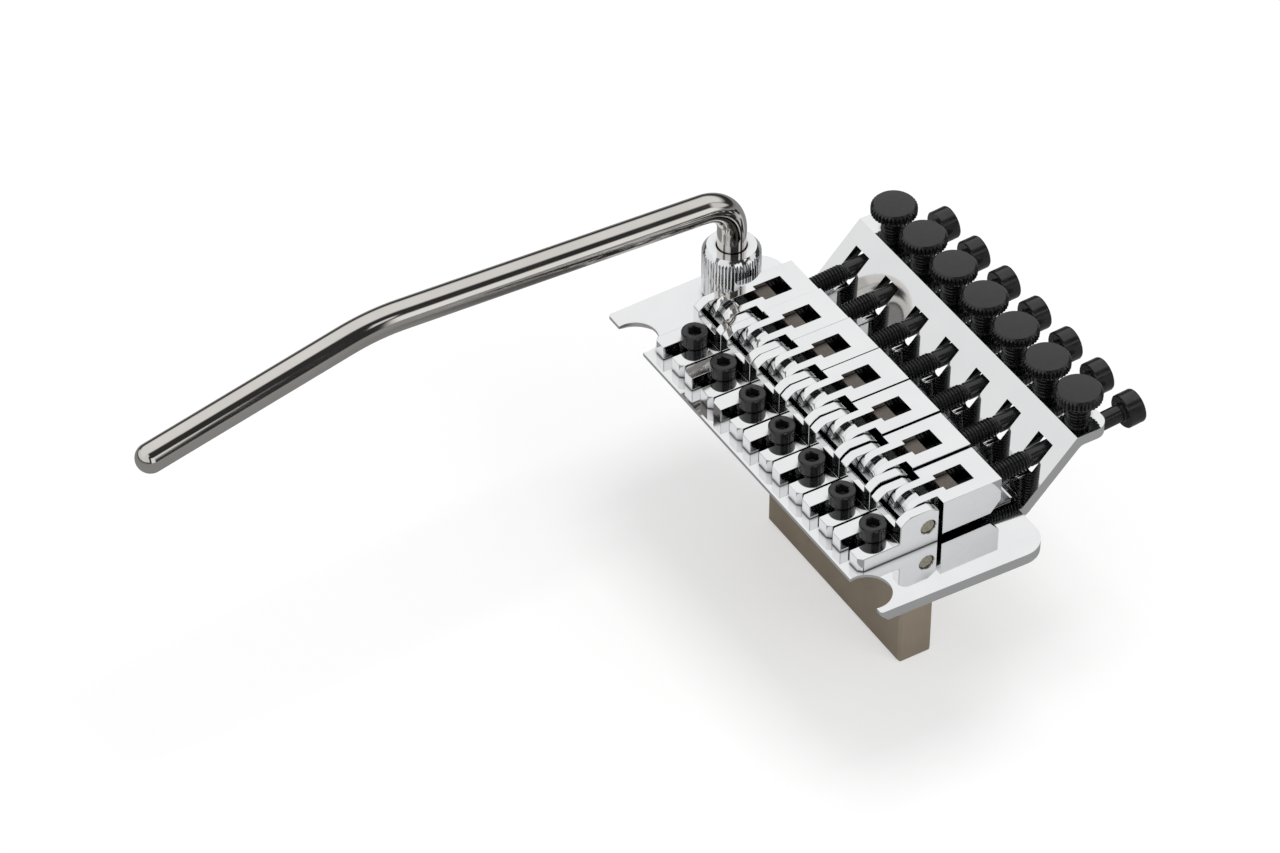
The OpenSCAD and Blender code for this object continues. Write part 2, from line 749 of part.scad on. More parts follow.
// Swivelling arm: a post in the socket, a tight corner, and a long rod that droops past its knee
module tremolo_arm() {
    corner_t = arm_corner_r * tan(arm_turn_1 / 2);
    knee_t = arm_knee_r * tan(arm_turn_2 / 2);
    post_l = arm_corner_z - corner_t - arm_foot_z;
    first_l = arm_knee_reach / cos(arm_rise) - corner_t - knee_t;
    second_l = (arm_tip_reach - arm_knee_reach) / cos(arm_fall) - knee_t;
    color("rosybrown")
        translate([-arm_x, arm_y, arm_foot_z])
            rotate([0, 0, arm_heading]) {
                cylinder(d1 = arm_d - 2 * arm_foot_bevel, d2 = arm_d, h = arm_foot_bevel, $fn = fine_fn);
                translate([0, 0, arm_foot_bevel])
                    cylinder(d = arm_d, h = post_l - arm_foot_bevel, $fn = fine_fn);
                translate([0, 0, arm_ring_z - arm_foot_z])
                    cylinder(d = arm_ring_d, h = arm_ring_t, $fn = fine_fn);
                translate([0, 0, post_l]) {
                    rod_bend(arm_corner_r, arm_turn_1, arm_d);
                    past_bend(arm_corner_r, arm_turn_1) {
                        rod_straight(first_l, arm_d);
                        translate([0, 0, first_l]) {
                            rod_bend(arm_knee_r, arm_turn_2, arm_d);
                            past_bend(arm_knee_r, arm_turn_2)
                                rotate_extrude($fn = fine_fn)
                                    rod_tip_outline(second_l, arm_d);
                        }
                    }
                }
            }
}

// Side outline of the foot: low front block, and ears that rise with the arch
module foot_outline(lift) {
    polygon([
        [foot_front_y, 0],
        [foot_rear_y, 0],
        [foot_rear_y, ear_top_z - ear_heel_h + lift],
        [foot_rear_y - ear_heel_l, ear_top_z + lift],
        [ear_front_y + ear_brow_l, ear_top_z + lift],
        [ear_front_y + ear_brow_l / 2, ear_brow_z + (ear_top_z - ear_brow_z) * ear_brow_bulge + lift],
        [ear_front_y, ear_brow_z + lift],
        [ear_front_y, foot_low_z],
        [foot_front_y, foot_low_z]
    ]);
}

module saddle_foot(i) {
    lift = rise(i);
    half_w = saddle_w / 2;
    bevel_side = foot_front_bevel * sqrt(2);
    color("gainsboro")
        translate([string_x(i), 0, 0])
            difference() {
                across(saddle_w)
                    foot_outline(lift);
                // the pocket that the tongue swings in, and the ledge ahead of it
                across(saddle_w - 2 * ear_t)
                    polygon([[ear_front_y + ledge_l, foot_floor_t], [foot_rear_y + overcut, foot_floor_t],
                        [foot_rear_y + overcut, ear_top_z + lift + overcut],
                        [ear_front_y - overcut, ear_top_z + lift + overcut],
                        [ear_front_y - overcut, ledge_z + lift],
                        [ear_front_y + ledge_l - ledge_slant_l, ledge_z + lift],
                        [ear_front_y + ledge_l, ledge_z + lift - ledge_slant_l]]);
                // the open slot round the intonation screw
                translate([-foot_slot_w / 2, foot_front_y - overcut, -overcut])
                    cube([foot_slot_w, screw_y - foot_front_y + overcut, foot_low_z + 2 * overcut]);
                translate([0, screw_y, -overcut])
                    cylinder(d = foot_slot_w, h = foot_low_z + 2 * overcut, $fn = fine_fn);
                rod_across(pin_y, pin_z + lift, pin_d + 2 * seat_gap, saddle_w + overcut);
                for (side = [-1, 1])
                    translate([side * half_w, foot_front_y, foot_low_z / 2])
                        rotate([0, 0, 45])
                            cube([bevel_side, bevel_side, foot_low_z + overcut], center = true);
            }
}

module saddle_pin(i) {
    color("tan")
        translate([string_x(i), 0, 0])
            rod_across(pin_y, pin_z + rise(i), pin_d, saddle_w - 2 * pin_recess);
}

module intonation_screw(i) {
    head_z = foot_low_z + seat_gap;
    rim_d = screw_head_d - 2 * cap_bevel;
    color("#222222")
        translate([string_x(i), screw_y, 0])
            difference() {
                union() {
                    translate([0, 0, -plate_t])
                        cylinder(d = screw_thread_d, h = plate_t + head_z, $fn = fine_fn);
                    translate([0, 0, head_z])
                        cylinder(d = screw_head_d, h = screw_head_h - cap_bevel, $fn = fine_fn);
                    translate([0, 0, head_z + screw_head_h - cap_bevel])
                        cylinder(d1 = screw_head_d, d2 = rim_d, h = cap_bevel, $fn = fine_fn);
                }
                translate([0, 0, head_z + screw_head_h])
                    hex_socket(intonation_hex);
            }
}

// Side outline of the string block: the wide rear part
module block_outline() {
    polygon([
        [shoulder_y, block_bottom_z],
        [block_rear_y - block_bevel_l, block_bottom_z],
        [block_rear_y, block_bottom_z + block_bevel_h],
        [block_rear_y, block_top_z],
        [shoulder_y, block_top_z]
    ]);
}

// Side outline of the tongue, rounded at its front; inset shrinks its nose for the string rest
module tongue_outline(inset) {
    top_z = block_top_z - inset;
    bottom_z = pin_z - pin_d / 2 - tongue_wall;
    front_y = tongue_front_y + inset;
    nose = [front_y + tongue_nose_r, top_z - tongue_nose_r];
    chin = [front_y + tongue_chin_r, bottom_z + tongue_chin_r];
    translate(nose)
        circle(r = tongue_nose_r, $fn = circle_fn);
    translate(chin)
        circle(r = tongue_chin_r, $fn = circle_fn);
    polygon([
        [nose[0], top_z],
        [shoulder_y + overcut, top_z],
        [shoulder_y + overcut, bottom_z],
        [chin[0], bottom_z],
        chin,
        [front_y, chin[1]],
        [front_y, nose[1]],
        nose
    ]);
}

module string_block(i) {
    lift = rise(i);
    rest_y = tongue_front_y + tongue_nose_r + rest_l;
    fall_end_y = rest_y + rest_fall_l;
    rear_wall = block_rear_y - pocket_front_y - insert_l;
    channel_z = block_bottom_z + channel_floor;
    pocket_z = block_bottom_z + pocket_floor_t;
    color("gainsboro")
        translate([string_x(i), 0, lift])
            difference() {
                union() {
                    across(saddle_w)
                        block_outline();
                    across(tongue_w)
                        tongue_outline(0);
                }
                // the string channel, with its rounded rest at the front of the tongue
                across(channel_w)
                    difference() {
                        polygon([[tongue_front_y - overcut, channel_z], [pocket_front_y + nothing, channel_z],
                            [pocket_front_y + nothing, block_top_z + overcut],
                            [tongue_front_y - overcut, block_top_z + overcut]]);
                        intersection() {
                            tongue_outline(rest_drop);
                            polygon([[tongue_front_y, 0], [fall_end_y, 0], [fall_end_y, channel_z],
                                [rest_y, block_top_z], [tongue_front_y, block_top_z]]);
                        }
                    }
                translate([-pocket_w / 2, pocket_front_y, pocket_z])
                    cube([pocket_w, pocket_l, block_top_z]);
                translate([0, block_rear_y, lock_z_block])
                    rotate([-90 + lock_angle(i), 0, 0])
                        cylinder(d = loose(lock_thread_d), h = 2 * rear_wall, center = true, $fn = fine_fn);
                rod_across(pin_y, pin_z, pin_d + 2 * pin_clearance, tongue_w + overcut);
            }
}

module string_insert(i) {
    bottom_z = block_bottom_z + pocket_floor_t + insert_gap;
    color("dimgray")
        translate([string_x(i) - pocket_w / 2 + insert_gap, pocket_front_y + insert_gap, bottom_z + rise(i)])
            cube([pocket_w - 2 * insert_gap, insert_l - insert_gap, block_top_z - insert_drop - bottom_z]);
}

// Lock screw, drawn along its own axis from the tip to the head
module lock_screw(i) {
    along = 1 / cos(lock_angle(i));
    rear_wall = block_rear_y - pocket_front_y - insert_l;
    tip_l = rear_wall * along - lock_tip_d / 2 * tan(lock_angle(i)) - seat_gap;
    head_l = (lock_head_y - block_rear_y) * along + lock_head_l / 2;
    neck_end = lock_thread_out + lock_neck_l;
    rim_d = lock_head_d - 2 * cap_bevel;
    color("#222222")
        translate([string_x(i), block_rear_y, lock_z_block + rise(i)])
            rotate([-90 + lock_angle(i), 0, 0])
                difference() {
                    union() {
                        translate([0, 0, -tip_l])
                            cylinder(d1 = lock_tip_d, d2 = lock_thread_d, h = lock_tip_l, $fn = fine_fn);
                        translate([0, 0, lock_tip_l - tip_l])
                            cylinder(d = lock_thread_d, h = tip_l - lock_tip_l + lock_thread_out,
                                $fn = fine_fn);
                        cylinder(d = lock_neck_d, h = head_l - lock_head_l / 2, $fn = fine_fn);
                        translate([0, 0, neck_end])
                            cylinder(d = lock_shaft_d, h = head_l - neck_end - lock_head_l / 2,
                                $fn = fine_fn);
                        translate([0, 0, head_l - lock_head_l])
                            cylinder(d = lock_head_d, h = lock_head_l - cap_bevel, $fn = fine_fn);
                        translate([0, 0, head_l - cap_bevel])
                            cylinder(d1 = lock_head_d, d2 = rim_d, h = cap_bevel, $fn = fine_fn);
                    }
                    translate([0, 0, head_l])
                        hex_socket(lock_hex);
                }
}

module fine_tuner(i) {
    tip_z = shaft_top_z(i) + tuner_tip_gap;
    knob_z = tuner_top_z - knob_t;
    core_r = knob_d / 2 - knob_tooth_h - knurl_root;
    color("#222222")
        translate([string_x(i), tuner_y, 0]) {
            translate([0, 0, tip_z])
                cylinder(d1 = tuner_tip_d, d2 = tuner_thread_d, h = tuner_tip_l, $fn = fine_fn);
            translate([0, 0, tip_z + tuner_tip_l])
                cylinder(d = tuner_thread_d, h = knob_z - tip_z - tuner_tip_l + knob_rim, $fn = fine_fn);
            translate([0, 0, knob_z - tuner_collar_h])
                cylinder(d = tuner_collar_d, h = tuner_collar_h + knob_rim, $fn = fine_fn);
            translate([0, 0, knob_z])
                cylinder(r1 = core_r - knob_rim, r2 = core_r, h = knob_rim, $fn = circle_fn);
            translate([0, 0, knob_z + knob_rim])
                cylinder(r = core_r, h = knob_t - 1.5 * knob_rim, $fn = circle_fn);
            translate([0, 0, tuner_top_z - knob_rim / 2])
                cylinder(r1 = core_r, r2 = core_r - knob_rim / 2, h = knob_rim / 2, $fn = circle_fn);
            translate([0, 0, knob_z + knob_rim])
                linear_extrude(height = knob_t - 2 * knob_rim)
                    knurl_outline(knob_d / 2, knob_teeth, knob_tooth_h);
        }
}

base_plate();
sustain_block();
block_screws();
leaf_springs();
leaf_screws();
arm_socket();
socket_nut();
friction_washers();
arm_collar();
tremolo_arm();
for (i = strings) {
    saddle_foot(i);
    saddle_pin(i);
    intonation_screw(i);
    string_block(i);
    string_insert(i);
    lock_screw(i);
    fine_tuner(i);
}
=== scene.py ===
"""Looks of the guitar tremolo bridge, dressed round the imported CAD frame."""
import json
import math

import bpy
import numpy as np
from mathutils import Matrix, Vector


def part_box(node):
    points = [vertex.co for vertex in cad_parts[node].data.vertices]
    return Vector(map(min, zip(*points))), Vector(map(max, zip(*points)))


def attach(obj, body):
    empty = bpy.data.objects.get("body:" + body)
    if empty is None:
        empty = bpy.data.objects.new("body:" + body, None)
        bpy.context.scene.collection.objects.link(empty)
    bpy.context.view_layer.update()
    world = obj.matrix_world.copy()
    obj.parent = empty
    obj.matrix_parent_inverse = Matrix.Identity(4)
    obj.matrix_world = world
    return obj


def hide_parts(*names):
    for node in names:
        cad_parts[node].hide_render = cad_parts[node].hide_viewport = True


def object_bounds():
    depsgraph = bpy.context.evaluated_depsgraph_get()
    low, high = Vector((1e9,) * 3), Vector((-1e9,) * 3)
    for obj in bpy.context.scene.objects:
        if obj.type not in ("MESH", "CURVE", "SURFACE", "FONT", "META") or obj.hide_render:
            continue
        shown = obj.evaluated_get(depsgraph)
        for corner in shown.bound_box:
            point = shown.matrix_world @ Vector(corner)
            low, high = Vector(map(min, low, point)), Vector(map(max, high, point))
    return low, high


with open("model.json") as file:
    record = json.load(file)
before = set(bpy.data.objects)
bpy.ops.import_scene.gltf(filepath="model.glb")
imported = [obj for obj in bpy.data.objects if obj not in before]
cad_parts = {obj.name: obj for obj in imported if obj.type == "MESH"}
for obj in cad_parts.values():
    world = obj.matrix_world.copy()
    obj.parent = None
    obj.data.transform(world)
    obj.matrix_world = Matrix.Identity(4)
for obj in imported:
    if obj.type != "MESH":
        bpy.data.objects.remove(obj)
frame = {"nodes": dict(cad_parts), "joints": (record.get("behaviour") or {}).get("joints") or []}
cad_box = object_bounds()

MM = 0.001
STRINGS = range(1, 8)
JOINTS = {joint["name"]: joint for joint in frame["joints"]}
NODES = frame["nodes"]

# Camera, fitted to the photograph's frame of 1280 by 853
IMAGE_W = 1280
FOCAL_PX = 5160.67
SENSOR_W = 36.0
VIEW_AZIMUTH = math.radians(58.96)
VIEW_ELEVATION = math.radians(42.04)
VIEW_DISTANCE = 1005.37 * MM
VIEW_TARGET = Vector((-20.13, -12.35, -0.7)) * MM
CLIP = (0.05, 20)

# Sizes of the dressed pieces, in millimetres, as in the construction
PIN_Z = 4.6
BLOCK_REAR_Y = 33.2

# Screw heads: the share of the bevel at which its middle corner lies, and the hex socket with its chamfer
# and the cone of its floor
HEAD_CORNER = 0.35
HEX_DEPTH = 1.9
HEX_CHAMFER_W = 0.12
HEX_CHAMFER_H = 0.16
HEX_CONE_H = 0.35
HEX_CONE_R = 0.05

# Screw threads: their depth as a share of the pitch, their valleys and flanks as shares of half a turn,
# the rings for each turn, and the corners of a ring
THREAD_DEPTH = 0.58
THREAD_VALLEY = 0.1
THREAD_FLANK = 0.72
THREAD_SAMPLES = 12
THREAD_CORNERS = 60

# String lock screws
LOCK_Z_BLOCK = 5.1
LOCK_HEAD_Y = 66.3
LOCK_THREAD_D = 4.0
LOCK_THREAD_OUT = 9.4
LOCK_ROOT_D = 3.16
LOCK_RUNOUT = 0.4
LOCK_PITCH = 0.7
LOCK_SHAFT_D = 3.6
LOCK_HEAD_D = 7.0
LOCK_HEAD_L = 3.8
LOCK_HEAD_BEVEL = 0.4
LOCK_HEX = 3.0
LOCK_TIP_D = 2.6
LOCK_TIP_L = 0.7
LOCK_EASE = 0.25

# Intonation screws
SCREW_D = 2.9
SCREW_PITCH = 0.5
SCREW_ROOT_D = 2.3
SCREW_RUNOUT = 0.1
SCREW_NECK_D = 2.8
SCREW_NECK_L = 0.2
SCREW_TIP_D = 1.9
SCREW_TIP_L = 0.25
SCREW_HEAD_D = 5.4
SCREW_HEAD_H = 3.0
SCREW_HEAD_BEVEL = 0.35
SCREW_HEX = 2.5
SCREW_EASE = 0.15

# Fine tuners. The knob's foot is given as insets, rises and depths of the teeth, its rim as insets and
# drops, from its radius and its faces.
KNOB_D = 9.5
KNOB_T = 2.7
KNOB_TEETH = 36
KNOB_TOOTH_DEPTH = 0.38
KNOB_EDGE = 0.62
KNOB_BEVEL_H = 0.55
KNOB_BEVEL_W = 0.5
KNOB_FOOT = ((0.75, 0.0, 0.096), (0.12, 0.45, 0.36))
KNOB_RIM = ((0.58, 0.01), (0.66, 0.0))
TUNER_D = 5.0
TUNER_PITCH = 0.8
TUNER_ROOT_D = 4.0
TUNER_RUNOUT = 0.1
TUNER_NECK_D = 4.4
TUNER_TIP_D = 3.0
TUNER_TIP_L = 0.8
TUNER_COLLAR_D = 6.4
TUNER_COLLAR_H = 0.7
TUNER_COLLAR_SUNK = 0.1
TUNER_EASE = 0.15

# Arm collar, with its foot and rim given as the knob's are. The teeth reach up a share of its bevel.
COLLAR_TEETH = 52
COLLAR_TOOTH_DEPTH = 0.27
COLLAR_BEVEL_H = 1.2
COLLAR_BEVEL_W = 0.9
COLLAR_BEVEL_CUT = 0.34
COLLAR_FOOT = ((0.75, 0.0, 0.0), (0.12, 0.5, 0.156), (0.0, 0.65, COLLAR_TOOTH_DEPTH))
COLLAR_RIM = ((0.85, 0.06), (0.93, 0.0))
COLLAR_BORE_R = 4.06
COLLAR_BORE_EASE = 0.2
COLLAR_ROOF_T = 2.0
COLLAR_MOUTH_GAP = 0.15
COLLAR_MOUTH_EASE = 0.08

# Each tooth's corners round a ring, and the steps in which a bevel cuts the teeth
TOOTH_CORNERS = 8
BEVEL_CUTS = 5

# Tremolo arm. The rounding of its tip stops a part of a step short and leaves a small flat.
ARM_D = 6.0
ARM_INSET = 0.004
ARM_AXIS = (-44.2, 23.4)
ARM_HEADING = math.radians(-87)
ARM_CORNER_Z = 24.4
ARM_CORNER_R = 8.0
ARM_CORNER_STEPS = 24
ARM_RISE = math.radians(5.3)
ARM_KNEE_REACH = 83.1
ARM_FALL = math.radians(10.5)
ARM_KNEE_R = 45.0
ARM_KNEE_STEPS = 16
ARM_TIP_REACH = 132.3
ARM_TIP_STEPS = 12
ARM_TIP_FLAT = 0.4
ARM_FOOT_Z = -8.4
ARM_FOOT_BEVEL = 0.7
ARM_SEGMENTS = 64

# Edges of the dressed pieces and of the CAD nodes, in degrees: smooth below, sharp or rounded above
SMOOTH_BELOW = 20
BEVEL_ABOVE = 32
FLAT_BELOW = 0.6

# The CAD nodes' rounded edges, in steps, and the distance at which their points are one
BEVEL_STEPS = 3
WELD_WITHIN = 0.002 * MM

# The floor's half width in metres, its colour, its glow for the camera alone, and its colour as the metal
# mirrors it
FLOOR_HALF = 6.0
FLOOR_PAPER = 0.55
FLOOR_GLOW = 0.5
FLOOR_IN_METAL = 0.33

# The studio's cards as the metal mirrors them: a level, then soft edges along the axes of the direction,
# each from none to full
CARDS = (
    (0.94, ("X", 0.3, 0.1), ("Z", 0.22, 0.52)),
    (0.84, ("Y", -0.25, -0.45), ("Z", 0.05, 0.15), ("X", 0.6, 0.45)),
    (1.05, ("X", 0.55, 0.72), ("Y", 0.38, 0.48), ("Z", 0.55, 0.4)),
    (0.85, ("X", 0.54, 0.6), ("Y", 0.28, 0.33), ("Y", 0.5, 0.44), ("Z", 0.55, 0.6)),
    (1.0, ("X", 0.68, 0.76), ("Y", -0.33, -0.27), ("Y", 0.16, 0.1), ("Z", 0.64, 0.56)),
    (0.8, ("X", 0.4, 0.5), ("Y", -0.45, -0.55), ("Z", 0.05, 0.2)),
    (0.8, ("X", 0.15, 0.3), ("Y", 0.6, 0.7), ("Z", 0.05, 0.2)),
)

# Levels of the studio's dark parts in the metal, and of the even fill on everything else
STUDIO_DARK = 0.035
FILL = 0.55

# Painted shade in seams and gaps: the share of open sky below which it is darkest, and the rays that
# measure it
SEAM_SHADE_DARKEST_BELOW = 0.25
SEAM_SHADE_RAYS = 6

# Soft boxes: a name, a place and a size in metres, and watts. All face the object's origin.
SOFTBOXES = (
    ("key", (0.0, 0.25, 1.2), (0.5, 0.5), 5),
    ("top", (0.1, -0.2, 1.4), (1.0, 1.0), 1.5),
    ("side", (1.0, 0.5, 0.8), (0.6, 0.9), 3),
)


def make_camera():
    """Camera at the photograph's viewing angle."""
    level = Vector((-math.sin(VIEW_AZIMUTH), math.cos(VIEW_AZIMUTH), 0))
    forward = level * math.cos(VIEW_ELEVATION) - Vector((0, 0, math.sin(VIEW_ELEVATION)))
    data = bpy.data.cameras.new("camera")
    data.sensor_width = SENSOR_W
    data.lens = FOCAL_PX / IMAGE_W * SENSOR_W
    data.clip_start, data.clip_end = CLIP
    camera = bpy.data.objects.new("camera", data)
    camera.location = VIEW_TARGET - forward * VIEW_DISTANCE
    camera.rotation_mode = "QUATERNION"
    camera.rotation_quaternion = forward.to_track_quat("-Z", "Y")
    bpy.context.scene.collection.objects.link(camera)
    bpy.context.scene.camera = camera


class Nodes:
    """Short forms for building a node tree."""

    def __init__(self, tree):
        self.tree = tree

    def add(self, kind, **settings):
        node = self.tree.nodes.new(kind)
        for key, value in settings.items():
            setattr(node, key, value)
        return node

    def link(self, source, target):
        self.tree.links.new(source, target)

    def feed(self, value, socket):
        """Sets a socket to a number, or links it to another socket."""
        if isinstance(value, (int, float)):
            socket.default_value = value
        else:
            self.link(value, socket)

    def math(self, operation, first, second):
        node = self.add("ShaderNodeMath", operation=operation)
        self.feed(first, node.inputs[0])
        self.feed(second, node.inputs[1])
        return node.outputs["Value"]

    def ranged(self, value, low, high, out_low=0.0, out_high=1.0, steps="LINEAR"):
        node = self.add("ShaderNodeMapRange", interpolation_type=steps)
        node.inputs["From Min"].default_value = low
        node.inputs["From Max"].default_value = high
        node.inputs["To Min"].default_value = out_low
        node.inputs["To Max"].default_value = out_high
        self.link(value, node.inputs["Value"])
        return node.outputs["Result"]

    def mix(self, factor, first, second):
        """The first shader where the factor is 0, the second where it is 1."""
        node = self.add("ShaderNodeMixShader")
        self.link(factor, node.inputs["Fac"])
        self.link(first, node.inputs[1])
        self.link(second, node.inputs[2])
        return node.outputs[0]


class Finish(Nodes):
    """A principled material whose texture comes from nodes in object space."""

    def __init__(self, name, metallic):
        self.material = bpy.data.materials.new(name)
        self.material.use_nodes = True
        super().__init__(self.material.node_tree)
        self.shader = self.tree.nodes["Principled BSDF"]
        self.shader.inputs["Metallic"].default_value = metallic
        self.place = self.add("ShaderNodeTexCoord").outputs["Object"]

    def noise(self, scale, stretch=(1, 1, 1), detail=3.0, turn=(0, 0, 0)):
        """Noise with features of 1/scale metres, stretched along the axes."""
        mapping = self.add("ShaderNodeMapping")
        mapping.inputs["Scale"].default_value = stretch
        mapping.inputs["Rotation"].default_value = turn
        self.link(self.place, mapping.inputs["Vector"])
        texture = self.add("ShaderNodeTexNoise")
        texture.inputs["Scale"].default_value = scale
        texture.inputs["Detail"].default_value = detail
        self.link(mapping.outputs["Vector"], texture.inputs["Vector"])
        return texture.outputs["Fac"]

    def colours(self, value, *stops):
        """Base colour from a ramp over value."""
        ramp = self.add("ShaderNodeValToRGB")
        elements = ramp.color_ramp.elements
        for element, (at, colour) in zip(elements, stops):
            element.position = at
            element.color = (*colour, 1)
        self.link(value, ramp.inputs["Fac"])
        self.link(ramp.outputs["Color"], self.shader.inputs["Base Color"])

    def roughness(self, value):
        self.link(value, self.shader.inputs["Roughness"])

    def painted_seam_shade(self, reach, darkest, untouched=0.75):
        """Paints shade into the base colour in gaps and seams narrower than that reach in metres, darker
        where less sky is open.
        """
        # painted shade: ambient occlusion darkens the base colour where neighbouring parts block the sky
        openness = self.add("ShaderNodeAmbientOcclusion", samples=SEAM_SHADE_RAYS, only_local=False)
        openness.inputs["Distance"].default_value = reach
        shade = self.ranged(openness.outputs["AO"], SEAM_SHADE_DARKEST_BELOW, untouched, darkest, 1.0)
        base = self.shader.inputs["Base Color"]
        colour = base.links[0].from_socket
        blend = self.add("ShaderNodeMix", data_type="RGBA", blend_type="MULTIPLY")
        blend.inputs["Factor"].default_value = 1
        self.link(colour, blend.inputs["A"])
        self.link(shade, blend.inputs["B"])
        self.link(blend.outputs["Result"], base)

    def bump(self, value, depth):
        """Relief of that depth in metres."""
        node = self.add("ShaderNodeBump")
        node.inputs["Distance"].default_value = depth
        self.link(value, node.inputs["Height"])
        self.link(node.outputs["Normal"], self.shader.inputs["Normal"])


def chrome_finish(name="chrome", reach=2.2, seam_shade_darkest=0.5):
    """Bright plating with a faint haze, fine wiping marks and a hint of ripple.

    Painted shade darkens gaps narrower than reach, in millimetres, down to the share cavities.
    """
    finish = Finish(name, 1.0)
    haze = finish.noise(90, detail=4)
    marks = finish.noise(260, (1, 14, 1), 2, (0, 0, 0.5))
    cross = finish.noise(240, (12, 1, 1), 2, (0, 0, -0.35))
    haze_part = finish.ranged(haze, 0.35, 0.75, 0.03, 0.075)
    mark_part = finish.ranged(finish.math("MULTIPLY", marks, cross), 0.28, 0.45, 0.0, 0.025)
    finish.roughness(finish.math("ADD", haze_part, mark_part))
    finish.colours(haze, (0.3, (0.84, 0.845, 0.855)), (0.7, (0.88, 0.885, 0.89)))
    # painted shade in gaps, then thin painted shade lines where pieces meet
    finish.painted_seam_shade(reach * MM, seam_shade_darkest)
    finish.painted_seam_shade(0.6 * MM, darkest=0.12, untouched=0.92)
    finish.bump(finish.noise(420, detail=1), 0.0000012)
    return finish


def foot_finish():
    """The same plating, satin on the slanting faces that look up and to the rear."""
    finish = chrome_finish("chrome_foot")
    facing = finish.add("ShaderNodeVectorMath", operation="DOT_PRODUCT")
    finish.link(finish.add("ShaderNodeTexCoord").outputs["Normal"], facing.inputs[0])
    facing.inputs[1].default_value = (0, math.sqrt(0.5), math.sqrt(0.5))
    metallic = finish.ranged(facing.outputs["Value"], 0.93, 0.98, 1.0, 0.25)
    finish.link(metallic, finish.shader.inputs["Metallic"])
    return finish.material


def arm_finish():
    """Polished bare steel, a little warm, with faint lengthwise polishing lines."""
    finish = Finish("polished_steel", 1.0)
    lines = finish.noise(900, (1, 0.03, 1), 3)
    haze = finish.noise(70, detail=3)
    finish.roughness(finish.ranged(lines, 0.3, 0.7, 0.05, 0.12))
    finish.colours(haze, (0.3, (0.62, 0.595, 0.565)), (0.7, (0.69, 0.665, 0.635)))
    finish.bump(lines, 0.000002)
    return finish.material


def black_finish(name="black_oxide", low=0.13, high=0.22, bright=0.018):
    """Black oxide on steel: satin, faintly mottled."""
    finish = Finish(name, 0.0)
    cloud = finish.noise(700, detail=4)
    grain = finish.noise(5200, detail=2)
    finish.roughness(finish.ranged(cloud, 0.3, 0.7, low, high))
    dim = bright * 0.6
    finish.colours(cloud, (0.3, (dim, dim, dim * 1.05)), (0.75, (bright, bright, bright * 1.1)))
    finish.bump(grain, 0.000003)
    return finish.material


def nickel_finish():
    """Satin nickel on the sustain block, brownish, with a fine vertical grain."""
    finish = Finish("satin_nickel", 0.6)
    grain = finish.noise(2600, (1, 1, 0.12), 3)
    cloud = finish.noise(120, detail=4)
    finish.roughness(finish.ranged(grain, 0.3, 0.7, 0.32, 0.48))
    finish.colours(cloud, (0.3, (0.6, 0.505, 0.393)), (0.7, (0.67, 0.575, 0.452)))
    finish.bump(grain, 0.000006)
    return finish.material


def insert_finish():
    """Sintered steel of the string inserts, dark and brown-grey."""
    finish = Finish("insert_steel", 0.8)
    grain = finish.noise(3000, detail=3)
    finish.roughness(finish.ranged(grain, 0.3, 0.7, 0.3, 0.5))
    finish.colours(grain, (0.3, (0.115, 0.1, 0.09)), (0.7, (0.185, 0.16, 0.14)))
    finish.bump(grain, 0.00001)
    return finish.material


def pin_finish():
    """Turned steel of the hinge pins, a little yellow."""
    finish = Finish("turned_pin", 1.0)
    grain = finish.noise(2500, detail=3)
    finish.roughness(finish.ranged(grain, 0.3, 0.7, 0.2, 0.36))
    finish.colours(grain, (0.3, (0.62, 0.57, 0.46)), (0.7, (0.72, 0.665, 0.53)))
    finish.bump(grain, 0.000004)
    return finish.material


def spring_finish():
    """Blued leaf-spring steel."""
    finish = Finish("spring_steel", 1.0)
    grain = finish.noise(1500, (0.1, 1, 1), 3)
    finish.roughness(finish.ranged(grain, 0.3, 0.7, 0.22, 0.38))
    finish.colours(grain, (0.3, (0.36, 0.37, 0.4)), (0.7, (0.46, 0.47, 0.49)))
    finish.bump(grain, 0.000003)
    return finish.material


def washer_finish():
    """Off-white bearing plastic."""
    finish = Finish("washer_plastic", 0.0)
    grain = finish.noise(1800, detail=2)
    finish.roughness(finish.ranged(grain, 0.3, 0.7, 0.42, 0.58))
    finish.colours(grain, (0.3, (0.79, 0.78, 0.73)), (0.7, (0.84, 0.83, 0.79)))
    finish.bump(grain, 0.000005)
    return finish.material


CHROME = chrome_finish().material
CHROME_FOOT = foot_finish()
# plating of the string blocks, with deeper and wider painted shade in their channels and gaps
CHROME_BLOCK = chrome_finish("chrome_block", 3.2, 0.15).material
ARM_STEEL = arm_finish()
BLACK = black_finish()
KNOB_BLACK = black_finish("knob_black", 0.14, 0.2, 0.014)
NICKEL = nickel_finish()
INSERT_STEEL = insert_finish()
PIN_STEEL = pin_finish()
SPRING_STEEL = spring_finish()
PLASTIC = washer_finish()


def add_piece(node, vertices, faces, material, body):
    """Links a new mesh in millimetres in place of a CAD node and lets it ride on its body."""
    name = f"{node}_dressed"
    mesh = bpy.data.meshes.new(name)
    mesh.from_pydata([tuple(v) for v in np.asarray(vertices) * MM], [], faces)
    mesh.validate()
    mesh.shade_smooth()
    mesh.set_sharp_from_angle(angle=math.radians(SMOOTH_BELOW))
    mesh.materials.append(material)
    piece = bpy.data.objects.new(name, mesh)
    bpy.context.scene.collection.objects.link(piece)
    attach(piece, body)
    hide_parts(node)


